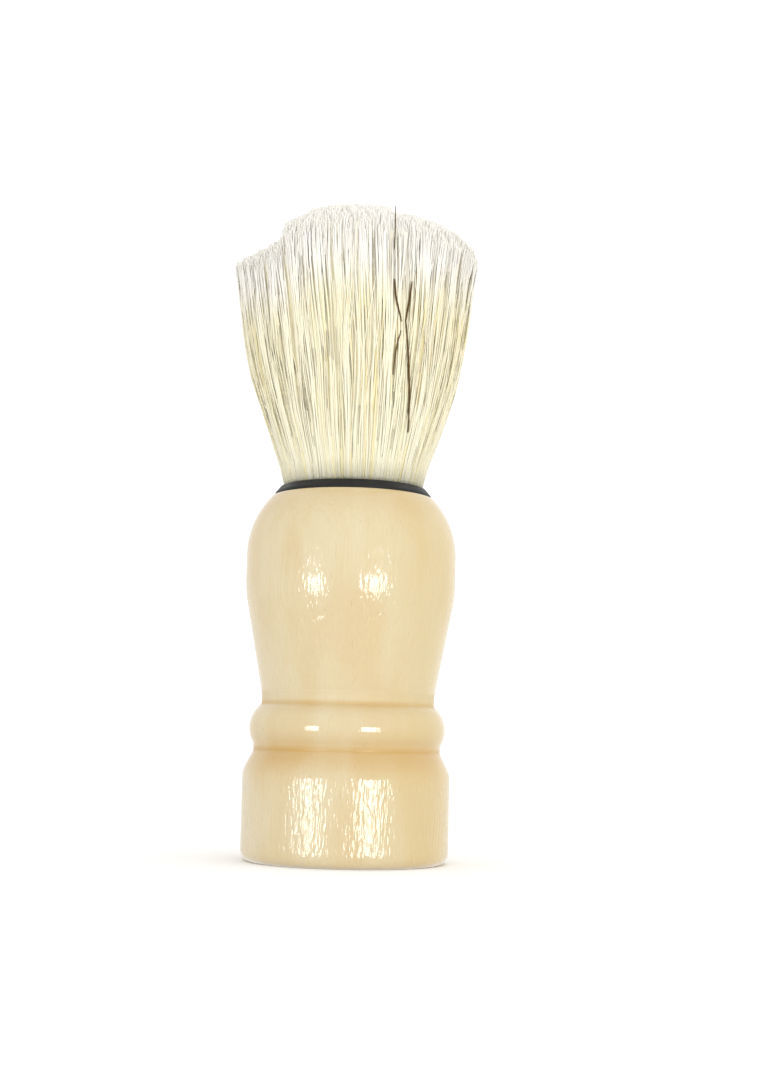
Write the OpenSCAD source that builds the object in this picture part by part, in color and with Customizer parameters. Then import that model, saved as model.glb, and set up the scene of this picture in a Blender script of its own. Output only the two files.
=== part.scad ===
// Shaving brush: a turned wooden handle with a bristle knot potted in a black ferrule.
// The brush stands on its base. The origin is the centre of the base, +Z up, in millimetres.

/* [Handle] */
// Height of the wood, from the base to the face that the ferrule sits on
handle_height = 56.6; // [46:0.1:70]
// Radius of the drum at the foot
base_radius = 16.05; // [15:0.05:19.5]
// Rounding of the foot's lower edge
base_edge_radius = 1.6; // [0.4:0.1:3]
// Height at which the drum starts to round in towards the groove
base_drum_height = 12.9; // [10:0.1:14]
// Arc between the drum and the groove's lower flank
base_shoulder_arc = 3.6; // [1:0.1:5]
// Height of the groove's bottom
groove_height = 17; // [15.5:0.1:18.5]
// Radius at the groove's bottom
groove_radius = 14.4; // [13:0.1:14.6]
// Height of the plain land between the groove and the bead
bead_land = 1.1; // [0.5:0.1:1.6]
// Height of the bead's widest line above the groove
bead_rise = 3.4; // [2.5:0.1:4]
// Radius of the bead at its widest line
bead_radius = 15.22; // [14.9:0.05:16]
// Height of the waist's lower end above the bead's widest line
bead_to_waist = 3.6; // [2.5:0.1:4.2]
// Radius of the waist
waist_radius = 13.4; // [12.8:0.1:14]
// Height of the waist's plain band
waist_band = 1.36; // [0.8:0.1:3]
// Largest radius of the grip
belly_radius = 16.48; // [15.5:0.05:20]
// Arc that leads the grip's lower taper into its widest band
belly_arc = 20; // [5:0.5:30]
// Height of the grip's widest band
belly_band = 3.9; // [1:0.1:8]
// Drop from the top of the wood to the widest band
neck_height = 9.3; // [7:0.1:12]
// Width of the wood's top face that shows round the ferrule
neck_ledge = 0.35; // [0:0.05:1]

/* [Ferrule] */
// Radius of the bristle bundle where it leaves the ferrule
knot_radius = 10.65; // [8.5:0.05:13]
// Clearance between the bristles and the ferrule's wall
knot_clearance = 0.1; // [0.05:0.05:0.3]
// Wall of the ferrule's skirt
skirt_wall = 0.65; // [0.5:0.05:1]
// Length of the skirt below the flange
skirt_length = 14; // [11.5:0.5:17]
// Height of the flange that shows above the wood
flange_height = 1.5; // [1:0.1:2.5]
// Overhang of the flange past the skirt
flange_overhang = 0.95; // [0.8:0.05:1.5]
// Upright lower part of the flange's edge
flange_land = 0.45; // [0.2:0.05:0.8]
// Width of the slope between that land and the flange's top
flange_slope = 0.75; // [0.3:0.05:0.9]
// Number of ribs that centre the skirt in the socket
rib_count = 3; // [2:1:4]
// Height of one rib
rib_height = 0.8; // [0.5:0.1:1.2]

/* [Glue and binding] */
// Glue gap round the skirt
glue_gap = 0.4; // [0.2:0.05:0.6]
// Glue bed under the skirt
glue_bed = 3; // [1.5:0.5:4]
// How far the glue rises round the skirt
glue_rise = 2.5; // [1:0.5:3]
// Depth of the dimple that the drill's point leaves in the socket's floor
drill_point_depth = 1.2; // [0.5:0.1:2]
// Resin under the bristles' butt ends
resin_floor = 1; // [0.5:0.1:2]
// Resin's whole height
resin_height = 6; // [5:0.5:8]
// Thickness of the binding thread
thread_diameter = 0.6; // [0.4:0.05:0.8]
// Turns of the binding thread
thread_turns = 5; // [3:1:6]

/* [Bristles] */
// Free length of the bristles at the middle of the head
loft = 44; // [38:0.1:56]
// Height of the domed end, from its rim to its middle
dome_height = 8.2; // [6:0.1:12]
// Radius of the head at the dome's rim
head_radius = 19.4; // [16:0.1:24]
// How far the head's side bows out of a straight cone, as a share of its spread
head_bow = 0.16; // [0:0.01:0.2]
// Tufts round the outside
outer_tufts = 12; // [12]
// Tufts in the ring inside those
inner_tufts = 6; // [6]
// Outer edge of the middle tuft, as a share of the head's radius
core_share = 0.3; // [0.25:0.01:0.35]
// Outer edge of the inner tufts, as a share of the head's radius
inner_share = 0.62; // [0.55:0.01:0.72]
// Gap between neighbouring tufts, and between the tufts and the bound root
tuft_gap = 0.3; // [0.2:0.01:0.4]
// How much shorter the tufts are on the side that has worn most
worn_drop = 3; // [0:0.1:4]
// Share of that wear on the inner tufts, which the outer ones shelter
inner_wear = 0.25; // [0:0.05:1]
// Direction of the most worn side, seen from above, from +X towards +Y
worn_side = 195; // [0:5:355]

/* [Hidden] */

wood = "wheat";
black_plastic = "#2f2f30";
glue = "khaki";
resin = "goldenrod";
thread = "ivory";
bristle = "#ece5cc";

round_fn = 96;
arc_steps = 14;
side_steps = 10;
dome_steps = 6;
dome_power = 2.5;
past = 1; // how far a cutter runs past the face that it cuts
reach = 60; // longer than any tuft is wide

// Handle heights and radii that follow from the values above
bead_height = groove_height + bead_rise;
waist_height = bead_height + bead_to_waist;
taper_height = waist_height + waist_band;
belly_top = handle_height - neck_height;
belly_bottom = belly_top - belly_band;
skirt_inner = knot_radius + knot_clearance;
skirt_outer = skirt_inner + skirt_wall;
flange_radius = skirt_outer + flange_overhang;
socket_radius = skirt_outer + glue_gap;
rib_radius = socket_radius - 0.1;
skirt_bottom = handle_height - skirt_length;
socket_floor = skirt_bottom - glue_bed;
mouth_height = handle_height + flange_height;
tuft_bottom = mouth_height + tuft_gap;
head_top = mouth_height + loft;
dome_rim = head_top - dome_height;
butt_height = skirt_bottom + resin_floor;
binding_height = butt_height + thread_diameter;
bound_radius = knot_radius - thread_diameter;

// Largest arc that can touch the vertical dz away and still reach a point dr nearer the axis
function fitting_arc(arc, dr, dz) = min(arc, (dr * dr + dz * dz) / (2 * dr));

// Angle of the arc between the vertical and the straight line that runs on to that point
function lead_angle(arc, dr, dz) =
    let(a = fitting_arc(arc, dr, dz), r = norm([a - dr, dz]))
    atan2(dz, a - dr) - acos(min(1, a / r));

// Points of an arc that bulges outwards, from one angle to another, about [radius, height]
function arc_points(centre, arc, from, to, steps = arc_steps) =
    [for (i = [0:steps]) let(a = from + (to - from) * i / steps) centre + arc * [cos(a), sin(a)]];

// Arc through the bead's widest line and the waist's lower end
bead_arc = (pow(bead_to_waist, 2) + pow(bead_radius - waist_radius, 2)) / (2 * (bead_radius - waist_radius));
bead_centre = [bead_radius - bead_arc, bead_height];
bead_top_angle = asin(bead_to_waist / bead_arc);
bead_bottom_angle = -asin((bead_rise - bead_land) / bead_arc);

// Arc from the grip's widest band up to the wood's top face
neck_drop = belly_radius - flange_radius - neck_ledge;
neck_arc = (pow(neck_height, 2) + pow(neck_drop, 2)) / (2 * neck_drop);
neck_angle = atan2(neck_height, neck_arc - neck_drop);

shoulder_dr = base_radius - groove_radius;
shoulder_dz = groove_height - base_drum_height;
shoulder_arc = fitting_arc(base_shoulder_arc, shoulder_dr, shoulder_dz);
taper_dr = belly_radius - waist_radius;
taper_dz = belly_bottom - taper_height;
grip_arc = fitting_arc(belly_arc, taper_dr, taper_dz);

handle_outline = concat(
    [[0, 0]],
    arc_points([base_radius - base_edge_radius, base_edge_radius], base_edge_radius, -90, 0, 6),
    arc_points([base_radius - shoulder_arc, base_drum_height], shoulder_arc,
        0, lead_angle(shoulder_arc, shoulder_dr, shoulder_dz), 8),
    [[groove_radius, groove_height]],
    arc_points(bead_centre, bead_arc, bead_bottom_angle, bead_top_angle),
    [[waist_radius, taper_height]],
    arc_points([belly_radius - grip_arc, belly_bottom], grip_arc,
        -lead_angle(grip_arc, taper_dr, taper_dz), 0, 8),
    arc_points([belly_radius - neck_arc, belly_top], neck_arc, 0, neck_angle),
    [[0, handle_height]]
);

// Head radius at a height: a cone from the ferrule's mouth to the dome's rim, bowed outwards
function head_radius_at(z) =
    let(u = min(1, max(0, (z - mouth_height) / (dome_rim - mouth_height))))
    knot_radius + (head_radius - knot_radius) * (u + head_bow * pow(sin(180 * u), 1.5));

// Height of the domed end at a share of the head's radius
function dome_at(share) = dome_rim + dome_height * pow(max(0, 1 - pow(share, dome_power)), 1 / dome_power);

// Outline of a ring of bristles between two shares of the head's radius, set in from the outer one by a gap
function ring_outline(inner, outer, gap, drop) =
    let(
        tip = function(share) dome_at(share) - drop,
        point = function(share, z) [max(0, share * head_radius_at(z) - (share == outer ? gap : 0)), z],
        climb = function(share, i) tuft_bottom + (tip(share) - tuft_bottom) * i / side_steps
    )
    concat(
        [for (i = [0:side_steps]) point(inner, climb(inner, i))],
        [for (i = [1:dome_steps - 1]) let(s = inner + (outer - inner) * i / dome_steps) point(s, tip(s))],
        [for (i = [side_steps:-1:0]) point(outer, climb(outer, i))]
    );

// Drop of a tuft's tips at an angle: all of worn_drop on the worn side, and none past a right angle from it
function wear_at(angle) = worn_drop * pow(max(0, cos(angle - worn_side)), 1.5);

function outer_angle(i) = (i - 0.5) * 360 / outer_tufts;
function inner_angle(i) = (i - 0.5) * 360 / inner_tufts;

module revolved(outline) {
    rotate_extrude($fn = round_fn) polygon(outline);
}

module ring_at(z, inner, outer, height) {
    translate([0, 0, z]) difference() {
        cylinder(r = outer, h = height, $fn = round_fn);
        translate([0, 0, -past]) cylinder(r = inner, h = height + 2 * past, $fn = round_fn);
    }
}

// Lathe-turned wood with a flat-bottomed socket, which keeps the dimple of the drill's point
module handle() {
    color(wood) difference() {
        revolved(handle_outline);
        socket(handle_height + past);
    }
}

module socket(top) {
    translate([0, 0, socket_floor]) cylinder(r = socket_radius, h = top - socket_floor, $fn = round_fn);
    translate([0, 0, socket_floor - drill_point_depth])
        cylinder(r1 = 0, r2 = 2 * drill_point_depth, h = drill_point_depth, $fn = round_fn);
}

// Moulded cup: a sloped flange over the wood's edge and a ribbed skirt in the socket
module ferrule() {
    top_radius = flange_radius - flange_slope;
    lip = min(0.3, (top_radius - skirt_inner) / 3);
    color(black_plastic) {
        revolved(concat(
            [[skirt_inner, skirt_bottom], [skirt_outer, skirt_bottom], [skirt_outer, handle_height]],
            [[flange_radius, handle_height], [flange_radius, handle_height + flange_land]],
            arc_points([top_radius - lip, mouth_height - lip], lip, 45, 90, 4),
            arc_points([skirt_inner + lip, mouth_height - lip], lip, 90, 180, 4)
        ));
        for (i = [1:rib_count])
            ring_at(handle_height - rib_height / 2 - (skirt_length - glue_rise) * i / (rib_count + 1),
                skirt_outer, rib_radius, rib_height);
    }
}

// Glue that fills the socket under the skirt and creeps up round it
module handle_adhesive() {
    color(glue) difference() {
        socket(skirt_bottom + glue_rise);
        translate([0, 0, skirt_bottom]) cylinder(r = skirt_outer, h = glue_rise + past, $fn = round_fn);
    }
}

// Cast resin that holds the butt ends and the binding in the skirt
module resin_plug() {
    color(resin) difference() {
        translate([0, 0, skirt_bottom]) cylinder(r = skirt_inner, h = resin_height, $fn = round_fn);
        knot_space();
    }
}

// Everything that the bristle bundle and its binding take up
module knot_space() {
    translate([0, 0, butt_height]) cylinder(r = knot_radius, h = skirt_length, $fn = round_fn);
}

// Turns of waxed thread, side by side round the bundle
module knot_binding() {
    pitch = thread_diameter * 1.06;
    color(thread) for (i = [0:thread_turns - 1])
        translate([0, 0, binding_height + thread_diameter / 2 + pitch * i])
            rotate_extrude($fn = round_fn)
                translate([bound_radius + thread_diameter / 2, 0]) circle(d = thread_diameter * 0.98, $fn = 24);
}

// Bristles from their butt ends to the ferrule's mouth, drawn in under the binding
module knot_root() {
    band_top = binding_height + thread_diameter * (1.06 * thread_turns + 0.5);
    color(bristle) revolved([
        [0, butt_height], [bound_radius, butt_height], [bound_radius, band_top],
        [knot_radius, band_top + thread_diameter], [knot_radius, mouth_height], [0, mouth_height]
    ]);
}

// Middle of the head, standing on the bound root
module centre_tuft() {
    color(bristle) union() {
        revolved(ring_outline(0, core_share, tuft_gap, 0));
        translate([0, 0, mouth_height])
            cylinder(r = core_share * knot_radius - tuft_gap, h = 2 * tuft_gap, $fn = round_fn);
    }
}

// Flat-sided wedge about +X that keeps half the gap clear on both sides
module wedge(width) {
    half = width / 2;
    apex = [tuft_gap / 2 / sin(half), 0];
    linear_extrude(height = head_top + past)
        polygon([apex, apex + reach * [cos(half), -sin(half)], apex + reach * [cos(half), sin(half)]]);
}

module tuft(inner, outer, gap, angle, width, drop) {
    color(bristle) rotate([0, 0, angle]) intersection() {
        revolved(ring_outline(inner, outer, gap, drop));
        wedge(width);
    }
}

module inner_tuft(i) {
    tuft(core_share, inner_share, tuft_gap, inner_angle(i), 360 / inner_tufts,
        inner_wear * wear_at(inner_angle(i)));
}

module outer_tuft(i) {
    tuft(inner_share, 1, 0, outer_angle(i), 360 / outer_tufts, wear_at(outer_angle(i)));
}

handle();
ferrule();
handle_adhesive();
resin_plug();
knot_binding();
knot_root();
centre_tuft();
for (i = [1:inner_tufts]) inner_tuft(i);
for (i = [1:outer_tufts]) outer_tuft(i);
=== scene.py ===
import math

import bpy
import numpy as np
from mathutils import Matrix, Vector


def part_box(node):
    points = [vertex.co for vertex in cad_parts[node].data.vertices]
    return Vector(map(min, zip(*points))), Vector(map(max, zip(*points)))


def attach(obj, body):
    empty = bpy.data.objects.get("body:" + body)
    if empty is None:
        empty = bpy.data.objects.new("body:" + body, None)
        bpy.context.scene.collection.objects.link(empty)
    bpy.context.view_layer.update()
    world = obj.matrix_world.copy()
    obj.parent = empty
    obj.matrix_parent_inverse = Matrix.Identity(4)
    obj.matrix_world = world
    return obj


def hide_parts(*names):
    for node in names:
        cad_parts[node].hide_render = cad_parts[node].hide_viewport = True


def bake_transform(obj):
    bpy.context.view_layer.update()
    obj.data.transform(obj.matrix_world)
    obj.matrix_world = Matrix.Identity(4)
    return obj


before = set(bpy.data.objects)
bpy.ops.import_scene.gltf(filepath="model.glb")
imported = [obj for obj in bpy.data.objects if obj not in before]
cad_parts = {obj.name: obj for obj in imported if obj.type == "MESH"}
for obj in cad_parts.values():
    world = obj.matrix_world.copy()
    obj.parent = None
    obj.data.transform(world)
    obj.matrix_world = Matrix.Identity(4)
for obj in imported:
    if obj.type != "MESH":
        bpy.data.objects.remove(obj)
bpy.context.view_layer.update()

mm = 0.001


# Numbers that the pieces share: the brush's own sizes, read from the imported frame
def readSizes():
    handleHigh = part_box("handle")[1]
    ferruleLow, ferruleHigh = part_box("ferrule")
    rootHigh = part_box("knot_root")[1]
    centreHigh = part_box("centre_tuft")[1]
    outerHigh = max(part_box(f"outer_tuft_{i}")[1].x for i in range(1, 13))
    return {
        "gripRadius": handleHigh.x,
        "woodTop": handleHigh.z,
        "skirtBottom": ferruleLow.z,
        "flangeRadius": ferruleHigh.x,
        "mouth": rootHigh.z,
        "knotRadius": rootHigh.x,
        "tips": centreHigh.z,
        "headRadius": outerHigh,
    }


sizes = readSizes()
print("sizes in mm:", {k: round(v / mm, 2) for k, v in sizes.items()})



# An even S from 0 to 1: three squares less two cubes
def smoothStep(x):
    x = np.clip(x, 0.0, 1.0)
    return x * x * (3 - 2 * x)


# A mesh object from whole arrays of points and faces, all faces with the same number of corners
def meshFrom(name, points, faceGroups, smooth=True):
    mesh = bpy.data.meshes.new(name)
    points = np.ascontiguousarray(points, np.float32)
    mesh.vertices.add(len(points))
    mesh.vertices.foreach_set("co", points.ravel())
    loops = np.concatenate([np.asarray(f).ravel() for f in faceGroups]).astype(np.int32)
    counts = np.concatenate([np.full(len(f), np.asarray(f).shape[1]) for f in faceGroups])
    starts = np.concatenate([[0], np.cumsum(counts)[:-1]]).astype(np.int32)
    mesh.loops.add(len(loops))
    mesh.loops.foreach_set("vertex_index", loops)
    mesh.polygons.add(len(counts))
    mesh.polygons.foreach_set("loop_start", starts)
    mesh.polygons.foreach_set("use_smooth", np.full(len(counts), smooth))
    mesh.update(calc_edges=True)
    mesh.validate()
    piece = bpy.data.objects.new(name, mesh)
    bpy.context.scene.collection.objects.link(piece)
    return piece


# Point attribute of one number for each vertex
def pointValues(piece, name, values):
    attribute = piece.data.attributes.new(name, "FLOAT", "POINT")
    attribute.data.foreach_set("value", np.asarray(values, np.float32).ravel())



# A material with its node tree and its one shader
def newMaterial(name):
    material = bpy.data.materials.new(name)
    material.use_nodes = True
    tree = material.node_tree
    shader = next(n for n in tree.nodes if n.type == "BSDF_PRINCIPLED")
    return material, tree, shader


# A node with values for its inputs, by name, and for its own settings
def addNode(tree, kind, **settings):
    node = tree.nodes.new(kind)
    for key, value in settings.items():
        if key in node.inputs:
            node.inputs[key].default_value = value
        else:
            setattr(node, key, value)
    return node


# These three put one node in and give back its output; their values may be numbers or sockets
def mathNode(tree, operation, a, b=None, clamp=False):
    node = addNode(tree, "ShaderNodeMath", operation=operation, use_clamp=clamp)
    for socket, value in zip(node.inputs, (a, b)):
        if isinstance(value, (int, float)):
            socket.default_value = value
        elif value is not None:
            tree.links.new(value, socket)
    return node.outputs[0]


def mixColour(tree, factor, a, b, blend="MIX"):
    node = addNode(tree, "ShaderNodeMix", data_type="RGBA", blend_type=blend)
    for socket, value in zip((node.inputs[0], node.inputs[6], node.inputs[7]), (factor, a, b)):
        if isinstance(value, (int, float, tuple)):
            socket.default_value = value
        else:
            tree.links.new(value, socket)
    return node.outputs[2]


def mapRange(tree, value, low, high, toLow=0.0, toHigh=1.0, smooth=False):
    node = addNode(tree, "ShaderNodeMapRange", interpolation_type="SMOOTHSTEP" if smooth else "LINEAR")
    tree.links.new(value, node.inputs["Value"])
    for key, number in (("From Min", low), ("From Max", high), ("To Min", toLow), ("To Max", toHigh)):
        node.inputs[key].default_value = number
    return node.outputs["Result"]


# The fine mottling that moulded, cast and spun surfaces share: fractal noise in space, spread to a mask
# between two of its values, and used as relief. The group puts out the mask and the normal.
def mottleGroup():
    group = bpy.data.node_groups.new("mottle", "ShaderNodeTree")
    for name, kind, value in (
        ("Place", "NodeSocketVector", None),
        ("Scale", "NodeSocketFloat", 1000.0),
        ("Detail", "NodeSocketFloat", 3.0),
        ("Low", "NodeSocketFloat", 0.35),
        ("High", "NodeSocketFloat", 0.65),
        ("Relief", "NodeSocketFloat", 0.0),
    ):
        socket = group.interface.new_socket(name=name, in_out="INPUT", socket_type=kind)
        if value is not None:
            socket.default_value = value
    group.interface.new_socket(name="Mask", in_out="OUTPUT", socket_type="NodeSocketFloat")
    group.interface.new_socket(name="Normal", in_out="OUTPUT", socket_type="NodeSocketVector")
    given, result = addNode(group, "NodeGroupInput"), addNode(group, "NodeGroupOutput")
    noise = addNode(group, "ShaderNodeTexNoise", Roughness=0.6)
    spread = addNode(group, "ShaderNodeMapRange")
    bump = addNode(group, "ShaderNodeBump", Strength=1.0)
    for source, target in (
        (given.outputs["Place"], noise.inputs["Vector"]),
        (given.outputs["Scale"], noise.inputs["Scale"]),
        (given.outputs["Detail"], noise.inputs["Detail"]),
        (noise.outputs["Fac"], spread.inputs["Value"]),
        (given.outputs["Low"], spread.inputs["From Min"]),
        (given.outputs["High"], spread.inputs["From Max"]),
        (noise.outputs["Fac"], bump.inputs["Height"]),
        (given.outputs["Relief"], bump.inputs["Distance"]),
        (spread.outputs["Result"], result.inputs["Mask"]),
        (bump.outputs["Normal"], result.inputs["Normal"]),
    ):
        group.links.new(source, target)
    return group


mottle = mottleGroup()


# The group placed in a material with its own values
def addMottle(tree, place, **values):
    node = addNode(tree, "ShaderNodeGroup", node_tree=mottle)
    for key, value in values.items():
        node.inputs[key].default_value = value
    tree.links.new(place, node.inputs["Place"])
    return node.outputs["Mask"], node.outputs["Normal"]


# A colour as it is read off a screen, made into the linear values that a shader takes
def screenColour(*levels):
    shares = [level / 255 for level in levels]
    linear = [c / 12.92 if c <= 0.04045 else ((c + 0.055) / 1.055) ** 2.4 for c in shares]
    return (*linear, 1.0)


cameraSettings = {
    "distance": 0.257,  # from the brush's axis
    "height": 0.0196,  # above the base
    "pitch": 6.78,  # degrees up from level
    "roll": 1.34,  # degrees: the brush leans to the right in the view
    "aside": 0.0045,  # the brush stands this far left of the view's middle
    "lens": 54.6,
}


# A camera in front of the brush, looking along +Y, pitched and then rolled about its own line of sight
def makeCamera(settings):
    data = bpy.data.cameras.new("brushCamera")
    data.lens = settings["lens"]
    data.clip_start = 0.01
    camera = bpy.data.objects.new("brushCamera", data)
    bpy.context.scene.collection.objects.link(camera)
    pitched = Matrix.Rotation(math.radians(90 + settings["pitch"]), 4, "X")
    rolled = Matrix.Rotation(math.radians(settings["roll"]), 4, "Z")
    place = Matrix.Translation((settings["aside"], -settings["distance"], settings["height"]))
    camera.matrix_world = place @ pitched @ rolled
    bpy.context.scene.camera = camera
    return camera


makeCamera(cameraSettings)
print("camera set")


handleSettings = {
    "baseRadius": 16.05 * mm,
    "baseEdge": 1.6 * mm,
    "drumTop": 12.9 * mm,
    "shoulderArc": 3.6 * mm,
    "groove": (14.4 * mm, 17.0 * mm),  # radius, height
    "beadLand": 1.1 * mm,
    "beadWidest": (15.22 * mm, 20.4 * mm),
    "waistRadius": 13.4 * mm,
    "waistFrom": 24.0 * mm,
    "waistTo": 25.36 * mm,
    "gripArc": 20 * mm,
    "bellyBottom": 43.4 * mm,
    "bellyTop": 47.3 * mm,
    "neckLedge": 0.35 * mm,
    "socketRadius": 11.8 * mm,
    "socketFloor": 39.6 * mm,
    "softCorner": 0.11 * mm,  # how far the lacquer rounds every corner
    # how strong the lacquer's ripple is at each height, and where the lacquer has dried matt
    "ripple": (
        np.array([0, 2, 12, 15, 17, 19, 23, 25, 32, 48, 54, 57]) * mm,
        [0.3, 1, 1, 0.4, 0.1, 0.16, 0.16, 0.2, 0.55, 0.55, 0.2, 0],
    ),
    "matt": (
        np.array([16.5, 16.9, 17.3, 17.7, 23.5, 24, 25.6, 26.4]) * mm,
        [0, 0.6, 0.6, 0, 0, 1, 1, 0],
    ),
    "rows": 300,
    "columns": 300,
}


# Points of an arc about (radius, height), from one angle to another, in degrees
def arcPoints(centre, radius, fromAngle, toAngle, steps=60):
    angle = np.radians(np.linspace(fromAngle, toAngle, steps))
    return np.stack([centre[0] + radius * np.cos(angle), centre[1] + radius * np.sin(angle)], 1)


# Angle at which an arc that starts upright leaves for a straight line to a point dr nearer the axis, dz away:
# the direction to that point from the arc's centre, less the angle whose cosine is radius over distance
def leadAngle(radius, dr, dz):
    return math.degrees(math.atan2(dz, radius - dr) - math.acos(radius / math.hypot(radius - dr, dz)))


# The outline from the base's middle, up the outside, over the top ledge and down the socket: lines and arcs
def handleOutline(s):
    grooveRadius, grooveHeight = s["groove"]
    beadRadius, beadHeight = s["beadWidest"]
    rise, fall = s["waistFrom"] - beadHeight, beadRadius - s["waistRadius"]
    beadArc = (rise**2 + fall**2) / (2 * fall)
    beadLow = -math.degrees(math.asin((beadHeight - grooveHeight - s["beadLand"]) / beadArc))
    beadHigh = math.degrees(math.asin(rise / beadArc))
    neckHeight = sizes["woodTop"] - s["bellyTop"]
    neckDrop = sizes["gripRadius"] - sizes["flangeRadius"] - s["neckLedge"]
    neckArc = (neckHeight**2 + neckDrop**2) / (2 * neckDrop)
    neckAngle = math.degrees(math.atan2(neckHeight, neckArc - neckDrop))
    shoulder = leadAngle(s["shoulderArc"], s["baseRadius"] - grooveRadius, grooveHeight - s["drumTop"])
    grip = leadAngle(s["gripArc"], sizes["gripRadius"] - s["waistRadius"], s["bellyBottom"] - s["waistTo"])
    edge = s["baseEdge"]
    parts = [
        [(0, 0)],
        arcPoints((s["baseRadius"] - edge, edge), edge, -90, 0),
        arcPoints((s["baseRadius"] - s["shoulderArc"], s["drumTop"]), s["shoulderArc"], 0, shoulder),
        [s["groove"]],
        arcPoints((beadRadius - beadArc, beadHeight), beadArc, beadLow, beadHigh, 120),
        [(s["waistRadius"], s["waistTo"])],
        arcPoints((sizes["gripRadius"] - s["gripArc"], s["bellyBottom"]), s["gripArc"], -grip, 0),
        arcPoints((sizes["gripRadius"] - neckArc, s["bellyTop"]), neckArc, 0, neckAngle, 120),
        [(s["socketRadius"], sizes["woodTop"]), (s["socketRadius"], s["socketFloor"]), (0, s["socketFloor"])],
    ]
    return np.concatenate([np.asarray(p, float) for p in parts])


# An outline resampled at even steps of its own length, its corners softened, then thinned to so many rows
def softOutline(outline, soften, rows, crowd):
    length = np.concatenate([[0], np.cumsum(np.hypot(*np.diff(outline, axis=0).T))])
    fine = np.arange(0, length[-1], 0.02 * mm)
    path = np.stack([np.interp(fine, length, outline[:, k]) for k in (0, 1)], 1)
    reach = int(4 * soften / (0.02 * mm))
    bell = np.exp(-0.5 * (np.arange(-reach, reach + 1) * 0.02 * mm / soften) ** 2)
    padded = np.concatenate([2 * path[0] - path[reach:0:-1], path, 2 * path[-1] - path[-2 : -reach - 2 : -1]])
    path = np.stack([np.convolve(padded[:, k], bell / bell.sum(), "valid") for k in (0, 1)], 1)
    turn = np.abs(np.gradient(np.unwrap(np.arctan2(*np.gradient(path, axis=0).T[::-1]))))
    density = np.cumsum(1 + crowd * np.minimum(turn, 0.1))
    at = np.interp(np.linspace(density[0], density[-1], rows), density, np.arange(len(path)))
    return np.stack([np.interp(at, np.arange(len(path)), path[:, k]) for k in (0, 1)], 1)


# A closed mesh from rings of points, each joined to the next, with a fan to one point at either end
def ringMesh(name, rings, first, last):
    count, columns = rings.shape[:2]
    i, j = np.meshgrid(np.arange(count - 1), np.arange(columns), indexing="ij")
    k = (j + 1) % columns
    quads = np.stack([i * columns + j, i * columns + k, (i + 1) * columns + k, (i + 1) * columns + j], 2)
    around = np.arange(columns)
    after = (around + 1) % columns
    total, top = count * columns, (count - 1) * columns
    fans = [np.stack([after, around, np.full(columns, total)], 1)]
    fans.append(np.stack([top + around, top + after, np.full(columns, total + 1)], 1))
    points = np.concatenate([rings.reshape(-1, 3), [first, last]])
    return meshFrom(name, points, [quads.reshape(-1, 4), np.concatenate(fans)])


# A closed solid of revolution: every outline point but the two on the axis becomes a ring
def turnedPiece(name, outline, columns, wobble=None):
    ring = outline[1:-1]
    angle = np.linspace(0, 2 * np.pi, columns, endpoint=False)
    radius = np.repeat(ring[:, :1], columns, 1)
    if wobble is not None:
        radius = radius + wobble(ring[:, 1][:, None], angle[None, :])
    rings = np.stack([radius * np.cos(angle), radius * np.sin(angle), np.repeat(ring[:, 1:2], columns, 1)], 2)
    return ringMesh(name, rings, [0, 0, outline[0, 1]], [0, 0, outline[-1, 1]])


# Hand turning leaves the wood a few hundredths out of round, in slow waves round and up
def handTurned(height, angle):
    slow = 0.02 * np.sin(2 * angle + height / (9 * mm)) + 0.012 * np.sin(3 * angle - height / (5 * mm) + 1.3)
    return slow * mm * smoothStep(height / (3 * mm)) * smoothStep((sizes["woodTop"] - height) / (4 * mm))


# Painted shade, with some lacquer pooled in it: darker golden in the groove, the crease over the bead, the ledge
# under the ferrule and the foot, each a bell in height
poolAndShadeSettings = {
    "groove": (16.4 * mm, 1.9 * mm, 1.0),  # height, spread, strength
    "grooveLine": (17.1 * mm, 0.16 * mm, 0.9),
    "crease": (24.15 * mm, 0.2 * mm, 0.75),
    "creaseShade": (23.7 * mm, 0.7 * mm, 0.35),
    "ledge": (55.6 * mm, 2.2 * mm, 0.4),
    "foot": (0.3 * mm, 1.2 * mm, 0.15),
}


# The sum of those bells: strength times exp of minus half the squared distance in spreads
def poolAndShadeBells(height):
    return sum(
        strength * np.exp(-0.5 * ((height - centre) / spread) ** 2)
        for centre, spread, strength in poolAndShadeSettings.values()
    )


# The softened outline turned round the axis, with the painted shade and pooled lacquer in its hollows, ripple
# and matt bands by height
def makeHandle(s):
    outline = softOutline(handleOutline(s), s["softCorner"], s["rows"], 40)
    outline[0, 0] = outline[-1, 0] = 0
    piece = turnedPiece("turnedHandle", outline, s["columns"], handTurned)
    places = np.empty(3 * len(piece.data.vertices), np.float32)
    piece.data.vertices.foreach_get("co", places)
    height = places[2::3].astype(float)
    pointValues(piece, "poolAndShade", np.clip(poolAndShadeBells(height), 0, 1.5))
    pointValues(piece, "ripple", np.interp(height, *s["ripple"]))
    pointValues(piece, "matt", np.interp(height, *s["matt"]))
    return piece


woodSettings = {
    "pale": screenColour(207, 193, 158),
    "warm": screenColour(201, 177, 130),
    # the colour of the painted light on the +X side
    "paintedWarmSide": screenColour(192, 168, 106),
    # golden: the colour of the painted shade and pooled lacquer in the hollows
    "golden": screenColour(188, 150, 78),
    "pore": screenColour(172, 140, 88),
    # noise cells a metre across the grain and along it, with the noise's detail and roughness
    "blotches": (110, 45, 2.0, 0.5),
    "grain": (2600, 110, 3.0, 0.6),
    "pores": (3600, 420, 1.0, 0.5),
    "shortStreaks": (2100, 560, 1.0, 0.5),
    "longStreaks": (900, 330, 2.0, 0.5),
    "roughness": 0.1,
    "mattRoughness": 0.4,  # added where the lacquer has dried matt
    "specular": 0.8,
    "rippleHeight": 0.14 * mm,  # of the lacquer's ripple, where it is strongest
}
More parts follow.
